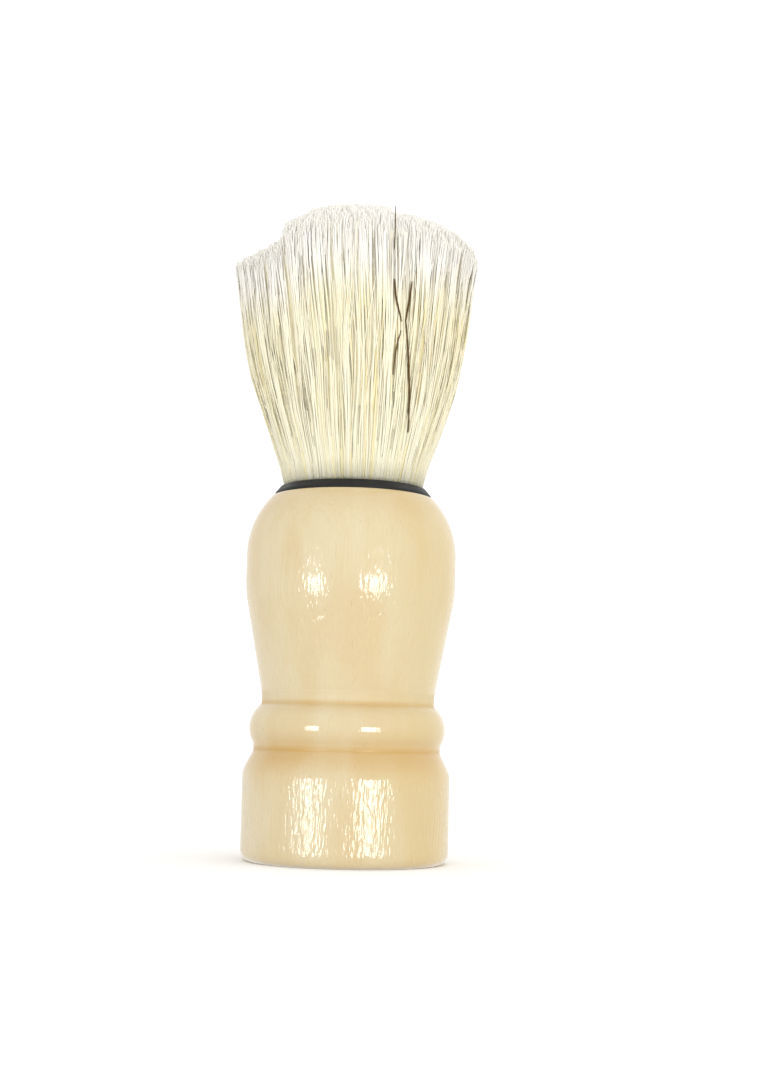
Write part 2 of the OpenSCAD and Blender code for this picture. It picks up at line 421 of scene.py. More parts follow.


# Wood under clear lacquer: blotches, grain and pores, golden as painted shade, with pooled lacquer, in the
# hollows, under the ferrule and at the foot, with streaks as relief
def makeWood(s):
    material, tree, shader = newMaterial("lacqueredWood")
    place = addNode(tree, "ShaderNodeTexCoord").outputs["Object"]

    # noise on coordinates stretched by so many cells a metre in each direction
    def stretched(across, along, detail, roughness):
        mapping = addNode(tree, "ShaderNodeMapping")
        mapping.inputs["Scale"].default_value = (across, across, along)
        tree.links.new(place, mapping.inputs["Vector"])
        noise = addNode(tree, "ShaderNodeTexNoise", Scale=1.0, Detail=detail, Roughness=roughness)
        tree.links.new(mapping.outputs[0], noise.inputs["Vector"])
        return noise.outputs["Fac"]

    blotch = mapRange(tree, stretched(*s["blotches"]), 0.35, 0.68, smooth=True)
    grain = mapRange(tree, stretched(*s["grain"]), 0.38, 0.66)
    pores = mapRange(tree, stretched(*s["pores"]), 0.68, 0.78)
    poolAndShade = addNode(tree, "ShaderNodeAttribute", attribute_name="poolAndShade").outputs["Fac"]

    colour = mixColour(tree, mathNode(tree, "MULTIPLY", blotch, 0.75), s["pale"], s["warm"])
    colour = mixColour(tree, mathNode(tree, "MULTIPLY", grain, 0.32), colour, s["warm"])
    colour = mixColour(tree, mathNode(tree, "MULTIPLY", pores, 0.35), colour, s["pore"])
    # painted light: more golden towards +X, the side where the light falls
    across = addNode(tree, "ShaderNodeSeparateXYZ")
    tree.links.new(place, across.inputs[0])
    paintedWarmSide = mapRange(tree, across.outputs["X"], 0.0, 15 * mm, 0.0, 0.55, smooth=True)
    colour = mixColour(tree, paintedWarmSide, colour, s["paintedWarmSide"])
    # painted shade, with pooled lacquer: darker golden in the groove and crease, under the ferrule and at the
    # foot
    deep = mathNode(tree, "MULTIPLY", poolAndShade, mapRange(tree, blotch, 0, 1, 0.5, 0.75), clamp=True)
    colour = mixColour(tree, deep, colour, s["golden"])
    tree.links.new(colour, shader.inputs["Base Color"])

    # lacquer that has dried in streaks along the grain, as strong as its attribute says
    broad = mathNode(tree, "MULTIPLY", stretched(*s["longStreaks"]), 0.5)
    ripple = mathNode(tree, "ADD", stretched(*s["shortStreaks"]), broad)
    strength = addNode(tree, "ShaderNodeAttribute", attribute_name="ripple").outputs["Fac"]
    bump = addNode(tree, "ShaderNodeBump", Strength=1.0, Distance=s["rippleHeight"])
    tree.links.new(mathNode(tree, "MULTIPLY", ripple, strength), bump.inputs["Height"])
    tree.links.new(bump.outputs[0], shader.inputs["Normal"])
    shader.inputs["Specular IOR Level"].default_value = s["specular"]
    rough = mapRange(tree, grain, 0, 1, s["roughness"], s["roughness"] + 0.05)
    matt = addNode(tree, "ShaderNodeAttribute", attribute_name="matt").outputs["Fac"]
    rough = mathNode(tree, "ADD", rough, mathNode(tree, "MULTIPLY", matt, s["mattRoughness"]))
    tree.links.new(rough, shader.inputs["Roughness"])
    return material


handle = makeHandle(handleSettings)
handle.data.materials.append(makeWood(woodSettings))
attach(handle, "brush")
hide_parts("handle")
print("handle made:", len(handle.data.polygons), "faces")


ferruleSettings = {
    "skirtInner": 10.75 * mm,
    "skirtOuter": 11.4 * mm,
    "land": 0.45 * mm,
    "slope": 0.75 * mm,
    "lip": 0.22 * mm,
    "ribs": (47.575 * mm, 50.45 * mm, 53.325 * mm),  # lower edge of each rib round the skirt
    "ribHeight": 0.8 * mm,
    "ribRadius": 11.7 * mm,
    "softCorner": 0.05 * mm,
    "rows": 190,
    "columns": 220,
}


# The moulded cup's outline, closed on itself and turned round the axis: skirt with its ribs, flange with
# its land and slope, and rounded lip
def makeFerrule(s):
    top = sizes["mouth"]
    topRadius = sizes["flangeRadius"] - s["slope"]
    base = sizes["woodTop"]
    inner, outer, rib = s["skirtInner"], s["skirtOuter"], s["ribRadius"]
    parts = [
        [(inner, sizes["skirtBottom"]), (outer, sizes["skirtBottom"])],
        *([(outer, z), (rib, z), (rib, z + s["ribHeight"]), (outer, z + s["ribHeight"])] for z in s["ribs"]),
        [(outer, base), (sizes["flangeRadius"], base), (sizes["flangeRadius"], base + s["land"])],
        arcPoints((topRadius - s["lip"], top - s["lip"]), s["lip"], 45, 90, 12),
        arcPoints((inner + s["lip"], top - s["lip"]), s["lip"], 90, 180, 12),
        [(inner, sizes["skirtBottom"])],
    ]
    outline = np.concatenate([np.asarray(p, float) for p in parts])
    outline = softOutline(outline, s["softCorner"], s["rows"], 30)
    outline[-1] = outline[0] = (outline[0] + outline[-1]) / 2
    ring, columns = outline[:-1], s["columns"]
    angle = np.linspace(0, 2 * np.pi, columns, endpoint=False)
    points = np.stack(
        [ring[:, :1] * np.cos(angle), ring[:, :1] * np.sin(angle), np.repeat(ring[:, 1:], columns, 1)], 2
    ).reshape(-1, 3)
    i, j = np.meshgrid(np.arange(len(ring)), np.arange(columns), indexing="ij")
    k, below = (j + 1) % columns, (i + 1) % len(ring)
    quads = np.stack([i * columns + j, i * columns + k, below * columns + k, below * columns + j], 2)
    return meshFrom("ferruleRing", points, [quads.reshape(-1, 4)])


plasticSettings = {
    "colour": screenColour(22, 22, 22),
    "worn": screenColour(46, 46, 46),
    "roughness": 0.42,
    "specular": 0.3,
    "grain": 2600.0,  # cells a metre of the moulding's fine grain
    "patches": 260.0,  # and of its scuffed patches
    "relief": 0.006 * mm,
}


# Moulded black plastic: scuffed a little paler where fine and broad mottling meet
def makePlastic(s):
    material, tree, shader = newMaterial("blackPlastic")
    place = addNode(tree, "ShaderNodeTexCoord").outputs["Object"]
    fine, relief = addMottle(tree, place, Scale=s["grain"], Low=0.55, High=0.75, Relief=s["relief"])
    broad, _ = addMottle(tree, place, Scale=s["patches"], Detail=2.0, Low=0.3, High=0.7)
    shader.inputs["Specular IOR Level"].default_value = s["specular"]
    scuff = mathNode(tree, "MULTIPLY", fine, mapRange(tree, broad, 0.25, 1.0, 0.15, 0.6))
    tree.links.new(mixColour(tree, scuff, s["colour"], s["worn"]), shader.inputs["Base Color"])
    rough = mapRange(tree, broad, 0, 1, s["roughness"], s["roughness"] + 0.18)
    tree.links.new(rough, shader.inputs["Roughness"])
    tree.links.new(relief, shader.inputs["Normal"])
    return material


ferrule = makeFerrule(ferruleSettings)
ferrule.data.materials.append(makePlastic(plasticSettings))
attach(ferrule, "brush")
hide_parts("ferrule")
print("ferrule made:", len(ferrule.data.polygons), "faces")


headSettings = {
    "bristles": 13000,
    "crowdOutside": 0.8,  # under 1 puts more of the bristles near the outside, where they show
    "wisps": 900,
    "wispWander": 0.016,  # how far whole wisps wander, so that the gaps between them open and close
    "gather": 0.26,  # how far a bristle leans to its wisp's middle
    "rings": 10,
    "thickness": 0.31 * mm,
    "wander": 0.017,  # how far one bristle wanders in its wisp, as a share of the radius
    "waves": (4.2, 9.5),  # radians of its two waves from foot to tip
    "wispWaves": 7.5,  # and of its wisp's
    "uneven": 0.07 * mm,  # scatter of the tips' heights
    "broken": 0.1 * mm,  # how much shorter some are
    "wispUneven": 0.045 * mm,
    "bluntness": 0.35,  # height of a strand's rounded-off end, as a share of its thickness
    "flags": 17000,  # fine split ends near the tips
    "flagRings": 4,
    "flagThickness": 0.14 * mm,
    "strays": 260,
    # painted shade: short dark stretches that stand for narrow gaps between bristles
    "gapShadeBits": 420,
    "rootDepth": 0.5 * mm,
    "domeHeight": 8.2 * mm,
    "domePower": 2.5,
    "bow": 0.16,
    "coreShare": 0.3,
    "innerShare": 0.62,
    # how far the tips stop short of the dome, from the left of the head to the right: three lobes, with steps
    "lobes": (
        np.array([-19.4, -18, -15, -10.8, -10.4, -6.9, -6.6, 0, 5.9, 6.2, 9.5, 12.7, 17]) * mm,
        np.array([1.7, 3.9, 4.9, 4.4, 1.9, 1.2, 0.5, 0.35, 0.3, 1.3, 0.9, 0.7, 0.9]) * mm,
    ),
    "bendsUpTo": 0.6,  # share of the height over which a lock bends as it splays
    "sag": (-0.45 * mm, 0.0),  # where the tips' middle has moved to
    "seed": 41,
}

# Dark strands on the surface, painted shade of the gaps between wisps and a few dark bristles: the share of the
# length that each spans, its angles in degrees at its foot and top, how far it bows between them, its thickness
# in millimetres, and how dark it is
darkHairsAndGapShade = [
    {"span": (0.17, 0.54), "angle": (-51, -64), "bow": -1, "thickness": 0.38, "dark": 1},
    {"span": (0.53, 0.67), "angle": (-64, -62), "bow": 0, "thickness": 0.36, "dark": 1},
    {"span": (0.53, 0.67), "angle": (-66, -71), "bow": -1, "thickness": 0.34, "dark": 1},
    {"span": (0.35, 0.5), "angle": (-68, -66), "bow": -1, "thickness": 0.3, "dark": 0.95},
    {"span": (0.22, 0.32), "angle": (-64, -67), "bow": 0, "thickness": 0.18, "dark": 0.7},
    {"span": (0.77, 0.92), "angle": (-72, -72), "bow": 0, "thickness": 0.22, "dark": 1},
    {"span": (0.19, 0.32), "angle": (-123, -119), "bow": 0, "thickness": 0.2, "dark": 0.6},
    {"span": (0.2, 0.31), "angle": (-94, -94), "bow": 0, "thickness": 0.14, "dark": 0.6},
    {"span": (0.37, 0.44), "angle": (-133, -134), "bow": 0, "thickness": 0.18, "dark": 0.5},
    {"span": (0.62, 0.69), "angle": (-93, -93), "bow": 0, "thickness": 0.12, "dark": 0.5},
]


# A dark split's angle at a share of the length: even between its two ends, and bowed by half a sine wave
def splitAngle(hair, along):
    (first, last), (foot, top) = hair["span"], hair["angle"]
    t = np.clip((along - first) / (last - first), 0, 1)
    return np.radians(foot + (top - foot) * t + hair["bow"] * np.sin(np.pi * t))


# Radius of the head at a height: a cone from the mouth to the dome's rim, bowed outwards by a sine
def headRadiusAt(z):
    rim = sizes["tips"] - headSettings["domeHeight"]
    u = np.clip((z - sizes["mouth"]) / (rim - sizes["mouth"]), 0, 1)
    spread = sizes["headRadius"] - sizes["knotRadius"]
    return sizes["knotRadius"] + spread * (u + headSettings["bow"] * np.sin(np.pi * u) ** 1.5)


# Height of the tips: a flattened dome over the head, with the lobes' drops taken off it
def tipHeight(share, angle):
    s = headSettings
    rim = sizes["tips"] - s["domeHeight"]
    power = s["domePower"]
    dome = rim + s["domeHeight"] * np.maximum(0, 1 - np.clip(share, 0, 1) ** power) ** (1 / power)
    return dome - np.interp(share * sizes["headRadius"] * np.cos(angle), *s["lobes"])


# Spots in the unit disc on a sunflower spiral, shaken a little; a power under 1 crowds them to the rim
def discSpots(count, shake, random, power=1.0):
    k = np.arange(count) + 0.5
    share, angle = np.sqrt(k / count) ** power, k * math.pi * (3 - math.sqrt(5))
    spots = np.stack([share * np.cos(angle), share * np.sin(angle)], 1)
    spots += random.normal(0, shake / math.sqrt(count), spots.shape)
    size = np.hypot(*spots.T)
    return spots / np.maximum(1, size / 0.998)[:, None]


# The bristles on the right of the front lean back towards the middle as they rise
def leanOfSide(angle):
    away = (angle - math.radians(-48) + np.pi) % (2 * np.pi) - np.pi
    return -math.radians(5) * np.exp(-((away / math.radians(35)) ** 2))


# Bristles part a little round each dark strand of painted gap shade, so that it sits in a gap: they move
# sideways and inwards by a bell of their distance from it, on the outermost bristles only
def partRoundGapShade(angle, share, z):
    along = (z - sizes["mouth"]) / (sizes["tips"] - sizes["mouth"])
    aside, inward = np.zeros_like(angle), np.ones_like(share)
    for hair in darkHairsAndGapShade:
        path = splitAngle(hair, along)
        first, last = hair["span"]
        shows = smoothStep((along - first + 0.03) / 0.04) * smoothStep((last + 0.03 - along) / 0.04)
        away = ((angle - path + np.pi) % (2 * np.pi) - np.pi) * headRadiusAt(z) / mm
        near = shows * np.exp(-((away / (0.15 + hair["thickness"])) ** 2)) * smoothStep((share - 0.9) / 0.06)
        near = near * smoothStep((hair["dark"] - 0.6) / 0.2)
        aside += near * np.sign(away) * 0.14 * mm / headRadiusAt(z)
        inward -= near * 0.006
    return aside, inward


# The strands' paths. A strand keeps its place in the head's round section while the section widens with
# height; on the way up it leans to its wisp's middle, wanders in slow waves, and turns about the axis with it
def strandPaths(spots, wispOf, wisps, wispTurn, u, random, wander=1.0, drift=0.0, lift=0.0):
    s, count = headSettings, len(spots)
    angle = np.arctan2(spots[:, 1], spots[:, 0])
    share = np.hypot(*spots.T)
    rough = random.normal(0, s["uneven"], count) - np.abs(random.normal(0, s["broken"], count))
    wispRough = random.normal(0, s["wispUneven"], len(wisps))[wispOf]
    wispPhase = np.random.default_rng(s["seed"] + 1).uniform(0, 2 * np.pi, (2, len(wisps)))
    top = tipHeight(share, angle) + rough + wispRough
    foot = sizes["mouth"] - s["rootDepth"]
    z = foot + (top - foot)[:, None] * u
    pull = s["gather"] * random.uniform(0.3, 1.0, count)[:, None]
    pull = pull * np.sin(np.pi * np.clip(u, 0, 1) ** 0.8) ** 0.9
    at = spots[:, None, :] + pull[:, :, None] * (wisps[wispOf] - spots)[:, None, :]
    phase = random.uniform(0, 2 * np.pi, (count, 4, 1))
    reach = random.uniform(0.2, 1.0, (count, 1)) * s["wander"] * wander
    sway = smoothStep(u * 2.2)
    long, short = s["waves"]
    for k in (0, 1):
        waves = np.sin(long * u + phase[:, 2 * k]) + 0.45 * np.sin(short * u + phase[:, 2 * k + 1])
        at[:, :, k] += reach * sway * waves
        at[:, :, k] += sway * s["wispWander"] * np.sin(s["wispWaves"] * u + wispPhase[k][wispOf][:, None])
    size = np.hypot(at[:, :, 0], at[:, :, 1])
    share = np.minimum(size, 1.006)
    turn = (leanOfSide(angle) + wispTurn[wispOf])[:, None] * smoothStep(u) + np.reshape(drift, (-1, 1)) * u
    angle = np.arctan2(at[:, :, 1], at[:, :, 0]) + turn
    aside, inward = partRoundGapShade(angle, share, z)
    return placeRound(angle + aside, share * inward, z, lift)


# From angle and share of the head's radius to a place, the whole head sagging a little to one side
def placeRound(angle, share, z, lift=0.0):
    radius = headRadiusAt(z) * share + lift
    sag = smoothStep((z - sizes["mouth"]) / (sizes["tips"] - sizes["mouth"]))
    aside, back = headSettings["sag"]
    return np.stack([radius * np.cos(angle) + aside * sag, radius * np.sin(angle) + back * sag, z], 2)


# A closed three-sided tube along each path, one flat side outwards and its end rounded off to a point: each
# ring is a circle of so many corners in the plane across the path
def strandMesh(name, paths, u, thickness, values, band, sides=3):
    count, rings = u.shape
    tangent = np.gradient(paths, axis=1)
    tangent /= np.linalg.norm(tangent, axis=2, keepdims=True)
    outward = paths * np.array([1.0, 1.0, 0.0])
    outward = outward - (outward * tangent).sum(2, keepdims=True) * tangent
    outward /= np.maximum(np.linalg.norm(outward, axis=2, keepdims=True), 1e-9)
    sideways = np.cross(tangent, outward)
    thickness = np.reshape(thickness, (count, -1))
    taper = thickness * (1 - 0.2 * smoothStep((u - 0.85) / 0.15)) / 2
    corner = 2 * np.pi * (np.arange(sides) + 0.5) / sides
    points = (
        paths[:, :, None, :]
        + taper[:, :, None, None] * np.cos(corner)[None, None, :, None] * outward[:, :, None, :]
        + taper[:, :, None, None] * np.sin(corner)[None, None, :, None] * sideways[:, :, None, :]
    )
    tip = paths[:, -1] + tangent[:, -1] * headSettings["bluntness"] * thickness[:, -1:]
    each = rings * sides + 1
    points = np.concatenate([points.reshape(count, -1, 3), tip[:, None, :]], 1).reshape(-1, 3)
    first = (np.arange(count) * each)[:, None, None]
    i, j = np.meshgrid(np.arange(rings - 1), np.arange(sides), indexing="ij")
    k = (j + 1) % sides
    pattern = np.stack([i * sides + j, i * sides + k, (i + 1) * sides + k, (i + 1) * sides + j], 2)
    quads = (first + pattern.reshape(1, -1, 4)).reshape(-1, 4)
    j = np.arange(sides)
    end = (rings - 1) * sides
    cap = np.stack([end + j, end + (j + 1) % sides, np.full(sides, each - 1)], 1)
    foot = np.arange(sides)[::-1][None, :]
    small = (first + np.concatenate([cap, foot])[None]).reshape(-1, 3)
    piece = meshFrom(name, points, [quads, small])
    for key, value in values.items():
        full = np.repeat(np.broadcast_to(value, (count, rings)), sides, axis=1)
        pointValues(piece, key, np.concatenate([full, full[:, -1:]], 1))
    addBakeMap(piece, count, rings, sides, band)
    return piece


# The bake's map: a grid of cells in one band, one for each strand, its sides across and its length up
def addBakeMap(piece, count, rings, sides, band):
    columns = math.ceil(math.sqrt(count * 2.2 / (band[1] - band[0])))
    rows = math.ceil(count / columns)
    n = np.arange(count)
    cell = np.stack([(n % columns) / columns, (n // columns) / rows], 1)
    wide, high = 0.86 / columns, 0.9 / rows
    i, j = np.meshgrid(np.arange(rings - 1), np.arange(sides), indexing="ij")
    across = np.stack([j, j + 1, j + 1, j], 2).reshape(-1) / sides
    up = np.stack([i, i, i + 1, i + 1], 2).reshape(-1) / rings
    quads = cell[:, None, :] + np.stack([across * wide, up * high], 1)[None]
    j = np.arange(sides)
    capAcross = np.stack([j, j + 1, j + 0.5], 1).reshape(-1) / sides
    capUp = np.tile([(rings - 1) / rings, (rings - 1) / rings, 1.0], sides)
    footAcross, footUp = np.array([1.0, 0.5, 0.0]), np.array([0.0, 0.04, 0.0])
    small = cell[:, None, :] + np.stack(
        [np.concatenate([capAcross, footAcross]) * wide, np.concatenate([capUp, footUp]) * high], 1
    )[None]
    layer = piece.data.uv_layers.new(name="OFBake")
    uv = np.concatenate([quads.reshape(-1, 2), small.reshape(-1, 2)])
    uv[:, 1] = band[0] + uv[:, 1] * (band[1] - band[0])
    layer.uv.foreach_set("vector", uv.astype(np.float32).ravel())


# Which lock a spot belongs to: the middle, one of six inner ones or one of twelve outer ones
def lockOf(spots):
    share = np.hypot(*spots.T)
    turn = (np.arctan2(spots[:, 1], spots[:, 0]) / (2 * np.pi)) % 1
    inner = 1 + np.minimum(5, (turn * 6).astype(int))
    outer = 7 + np.minimum(11, (turn * 12).astype(int))
    ringed = np.where(share < headSettings["innerShare"], inner, outer)
    return np.where(share < headSettings["coreShare"], 0, ringed)


lockNames = (
    ["centre_tuft"]
    + [f"inner_tuft_{i}" for i in range(1, 7)]
    + [f"outer_tuft_{i}" for i in range(1, 13)]
)


packedSettings = {
    "outerShare": 0.981,  # of the head's radius
    "gap": 0.012,
    "foot": 0.1 * mm,
    "depth": 0.65 * mm,  # from the tips down to its top
    "middleDepth": 1.15 * mm,  # and in the middle, where the loose strands stand further apart
    "ridge": 0.02,
    "seed": 7,
    "around": 52,
    "walls": 24,
    "tops": 12,
    "bake": 0.08,  # its share of the bake's map
}


# The packed bristles under a lock's surface: one closed body in the lock's own section, just inside its
# loose strands. Its walls rise ring by ring to the tips' dome, less a depth, and its top shrinks ring by ring
# onto the middle.
def packedBody(lock, band):
    s = packedSettings
    gap, around = s["gap"], s["around"]
    if lock == 0:
        angle = np.linspace(0, 2 * np.pi, 4 * around, endpoint=False)
        loop = (headSettings["coreShare"] - gap) * np.stack([np.cos(angle), np.sin(angle)], 1)
    else:
        outer = lock > 6
        low = headSettings["innerShare" if outer else "coreShare"] + gap
        high = s["outerShare"] if outer else headSettings["innerShare"] - gap
        step = 2 * np.pi / (12 if outer else 6)
        start = (lock - (7 if outer else 1)) * step
        share = np.concatenate([np.full(around, high), np.linspace(high, low, around)])
        share = np.concatenate([share, np.full(around, low), np.linspace(low, high, around)])
        far, near = start + step - gap / share, start + gap / share
        sweep = np.linspace(0, 1, around)
        mix = np.concatenate([sweep, np.ones(around), 1 - sweep, np.zeros(around)])
        angle = near + (far - near) * mix
        loop = share[:, None] * np.stack([np.cos(angle), np.sin(angle)], 1)
    middle = loop.mean(0)
    shrink = np.concatenate([np.ones(s["walls"]), np.linspace(0.86, 0.1, s["tops"])])[:, None, None]
    at = middle + (loop[None] - middle) * shrink
    share, angle = np.hypot(at[:, :, 0], at[:, :, 1]), np.arctan2(at[:, :, 1], at[:, :, 0])
    rise = np.concatenate([np.linspace(0, 1, s["walls"]), np.ones(s["tops"])])[:, None]
    foot = sizes["mouth"] + s["foot"]
    depth = s["depth"] if lock else s["middleDepth"]
    z = foot + (tipHeight(share, angle) - depth - foot) * rise
    # ridges up the walls, which lean with the loose strands over them
    random = np.random.default_rng(s["seed"] + lock)
    share = share - s["ridge"] * random.uniform(0, 1, len(loop))
    rings = placeRound(angle + leanOfSide(angle) * smoothStep(rise), share, z)
    first, last = rings[0].mean(0), rings[-1].mean(0)
    piece = ringMesh("packed", rings, first, last)
    along = np.concatenate([((z - foot) / (sizes["tips"] - foot)).ravel(), [0, 0.96]])
    pointValues(piece, "along", along)
    # a golden tone on the body: painted shade for the gaps where it shows
    pointValues(piece, "tone", [*np.tile(random.uniform(0.5, 0.92, len(loop)), len(rings)), 0.8, 0.8])
    pointValues(piece, "wispTone", [*np.tile(random.uniform(0, 1, len(loop)), len(rings)), 0.5, 0.5])
    pointValues(piece, "dark", np.zeros(len(along)))
    # its own strip of the bake's map: round the loop across, and ring by ring up
    count, columns = rings.shape[:2]
    i, j = np.meshgrid(np.arange(count - 1), np.arange(columns), indexing="ij")
    across, up = np.stack([j, j + 1, j + 1, j], 2) / columns, np.stack([i, i, i + 1, i + 1], 2) + 1.0
    quads = np.stack([across, up], 3)
    j = np.arange(columns)
    across = np.stack([j + 1, j, j + 0.5, j, j + 1, j + 0.5], 1) / columns
    up = np.tile([1.0, 1.0, 0.0, count, count, count + 1.0], (columns, 1))
    fans = np.stack([across, up], 2).reshape(columns, 2, 3, 2).transpose(1, 0, 2, 3)
    uv = np.concatenate([quads.reshape(-1, 2), fans.reshape(-1, 2)])
    uv[:, 1] = band[0] + uv[:, 1] / (count + 1) * (band[1] - band[0]) * 0.96
    piece.data.uv_layers.new(name="OFBake").uv.foreach_set("vector", uv.astype(np.float32).ravel())
    return piece


# The wisp whose middle is nearest to each spot, worked out in twelve batches to spare memory
def nearestWisp(spots, wisps):
    found = np.empty(len(spots), int)
    for part in np.array_split(np.arange(len(spots)), 12):
        found[part] = ((spots[part, None, :] - wisps[None]) ** 2).sum(2).argmin(1)
    return found


# Everything a strand needs, as rows that can be sorted into locks: path, place along its length, thickness
# and colours
def growStrands(s):
    random = np.random.default_rng(s["seed"])
    wisps = discSpots(s["wisps"], 0.35, random, s["crowdOutside"])
    wispTone = random.uniform(0, 1, s["wisps"])
    wispTurn = random.normal(0, math.radians(0.9), s["wisps"])
    groups = []

    def keep(spots, paths, u, thickness, tone, wispTones):
        values = {"along": u, "tone": tone, "wispTone": wispTones, "dark": np.zeros(len(spots))}
        group = {"lock": lockOf(spots), "paths": paths, "u": u, "thickness": thickness, "values": values}
        groups.append(group)

    def add(spots, u, thickness, tone, **options):
        wispOf = nearestWisp(spots, wisps)
        paths = strandPaths(spots, wispOf, wisps, wispTurn, u, random, **options)
        keep(spots, paths, u, thickness, tone, wispTone[wispOf])

    count = s["bristles"]
    spots = discSpots(count, 0.3, random, s["crowdOutside"])
    u = np.repeat(np.linspace(0, 1, s["rings"])[None], count, 0)
    # painted shade: bristles just under the surface are made more golden, for the tinted shade of the gaps where
    # they show
    under = smoothStep((0.985 - np.hypot(*spots.T)) / 0.03)
    tone = np.clip(random.uniform(0, 1, count) + 0.55 * under, 0, 1)
    add(spots, u, s["thickness"] * random.uniform(0.75, 1.2, count), tone)

    count = s["flags"]
    share = np.sqrt(random.uniform(0.0, 1.0, count)) ** 0.8
    angle = random.uniform(0, 2 * np.pi, count)
    spots = 0.998 * share[:, None] * np.stack([np.cos(angle), np.sin(angle)], 1)
    start = random.uniform(0.8, 0.93, count)[:, None]
    u = start + (1.0 + random.uniform(-0.012, 0.004, (count, 1)) - start) * np.linspace(0, 1, s["flagRings"])
    add(spots, u, np.full(count, s["flagThickness"]), random.uniform(0, 0.6, count), wander=1.6)

    count = s["strays"]
    angle = random.uniform(0, 2 * np.pi, count)
    spots = 0.995 * np.stack([np.cos(angle), np.sin(angle)], 1)
    u = np.linspace(0, 1, s["rings"])[None] * random.uniform(0.75, 1.0, count)[:, None]
    drift = random.normal(0, math.radians(7), count)
    lift = 0.14 * mm * np.sin(np.pi * u) * random.uniform(0.2, 1.0, count)[:, None]
    add(spots, u, np.full(count, 0.16 * mm), random.uniform(0, 0.5, count), drift=drift, lift=lift)

    # painted shade: short dark-brown stretches on the surface that stand for narrow gaps between bristles
    count = s["gapShadeBits"]
    angle = random.uniform(0, 2 * np.pi, count)
    low = random.uniform(0.0, 0.72, count)
    u = low[:, None] + random.uniform(0.03, 0.14, (count, 1)) * np.linspace(0, 1, 6)
    z = sizes["mouth"] + (sizes["tips"] - sizes["mouth"]) * u
    turn = angle[:, None] + random.normal(0, math.radians(7), (count, 1)) * (u - low[:, None])
    paths = placeRound(turn, np.full_like(u, 0.998), z)
    spots = np.stack([np.cos(angle), np.sin(angle)], 1)
    keep(spots, paths, u, random.uniform(0.08, 0.16, count) * mm, np.full(count, 0.5), np.full(count, 0.5))
    groups[-1]["values"]["dark"] = random.uniform(0.15, 0.6, count)

    # dark strands: painted shade of the gaps between wisps, with a few dark bristles
    for hair in darkHairsAndGapShade:
        u = np.linspace(*hair["span"], s["rings"])[None]
        z = sizes["mouth"] + (sizes["tips"] - sizes["mouth"]) * u
        angle = splitAngle(hair, u)
        paths = placeRound(angle, np.full_like(u, 1.0), z, (0.1 if hair["dark"] > 0.75 else -0.04) * mm)
        spots = np.stack([np.cos(angle[:, 5]), np.sin(angle[:, 5])], 1)
        slim = hair["thickness"] * mm * np.sin(np.pi * np.linspace(0.08, 0.92, s["rings"]))[None] ** 0.5
        keep(spots, paths, u, slim, np.array([0.5]), np.array([0.5]))
        groups[-1]["values"]["dark"] = np.array([hair["dark"]])
    return groups


bristleSettings = {
    "root": screenColour(242, 237, 213),
    "middle": screenColour(247, 241, 216),
    "tip": screenColour(249, 246, 238),
    # golden: the bristles' own colour, and painted shade on those under the surface
    "golden": screenColour(238, 224, 166),
    "shade": screenColour(233, 225, 180),
    # dark: painted shade of the gaps between wisps and bristles, and a few dark bristles
    "dark": screenColour(84, 60, 10),
    "sheen": 0.05,
    "specular": 0.12,
}


# Bristle: its colour runs from root to tip, with some golden strands, golden painted shade on those under the
# surface, some shaded wisps and dark strands of painted gap shade
def makeBristle(s):
    material, tree, shader = newMaterial("bristle")

    def attribute(name):
        return addNode(tree, "ShaderNodeAttribute", attribute_name=name).outputs["Fac"]

    along, tone, wispTone, dark = (attribute(n) for n in ("along", "tone", "wispTone", "dark"))
    colour = mixColour(tree, mapRange(tree, along, 0.0, 0.35, smooth=True), s["root"], s["middle"])
    # golden bristles, some at random and some as painted shade under the surface, fewer towards the tips, which
    # bleach
    below = mapRange(tree, along, 0.72, 0.95, 1.0, 0.1)
    golden = mathNode(tree, "MULTIPLY", mapRange(tree, tone, 0.72, 1.0, 0.0, 0.85), below)
    colour = mixColour(tree, golden, colour, s["golden"])
    shade = mathNode(tree, "MULTIPLY", mapRange(tree, wispTone, 0.55, 1.0, 0.0, 0.4), below)
    colour = mixColour(tree, shade, colour, s["shade"])
    colour = mixColour(tree, mapRange(tree, along, 0.66, 0.97, smooth=True), colour, s["tip"])
    # dark strands: painted shade of the gaps between wisps, with a few dark bristles
    colour = mixColour(tree, dark, colour, s["dark"])
    tree.links.new(colour, shader.inputs["Base Color"])
    tree.links.new(mapRange(tree, tone, 0.0, 1.0, 0.38, 0.6), shader.inputs["Roughness"])
    shader.inputs["Sheen Weight"].default_value = s["sheen"]
    shader.inputs["Specular IOR Level"].default_value = s["specular"]
    return material


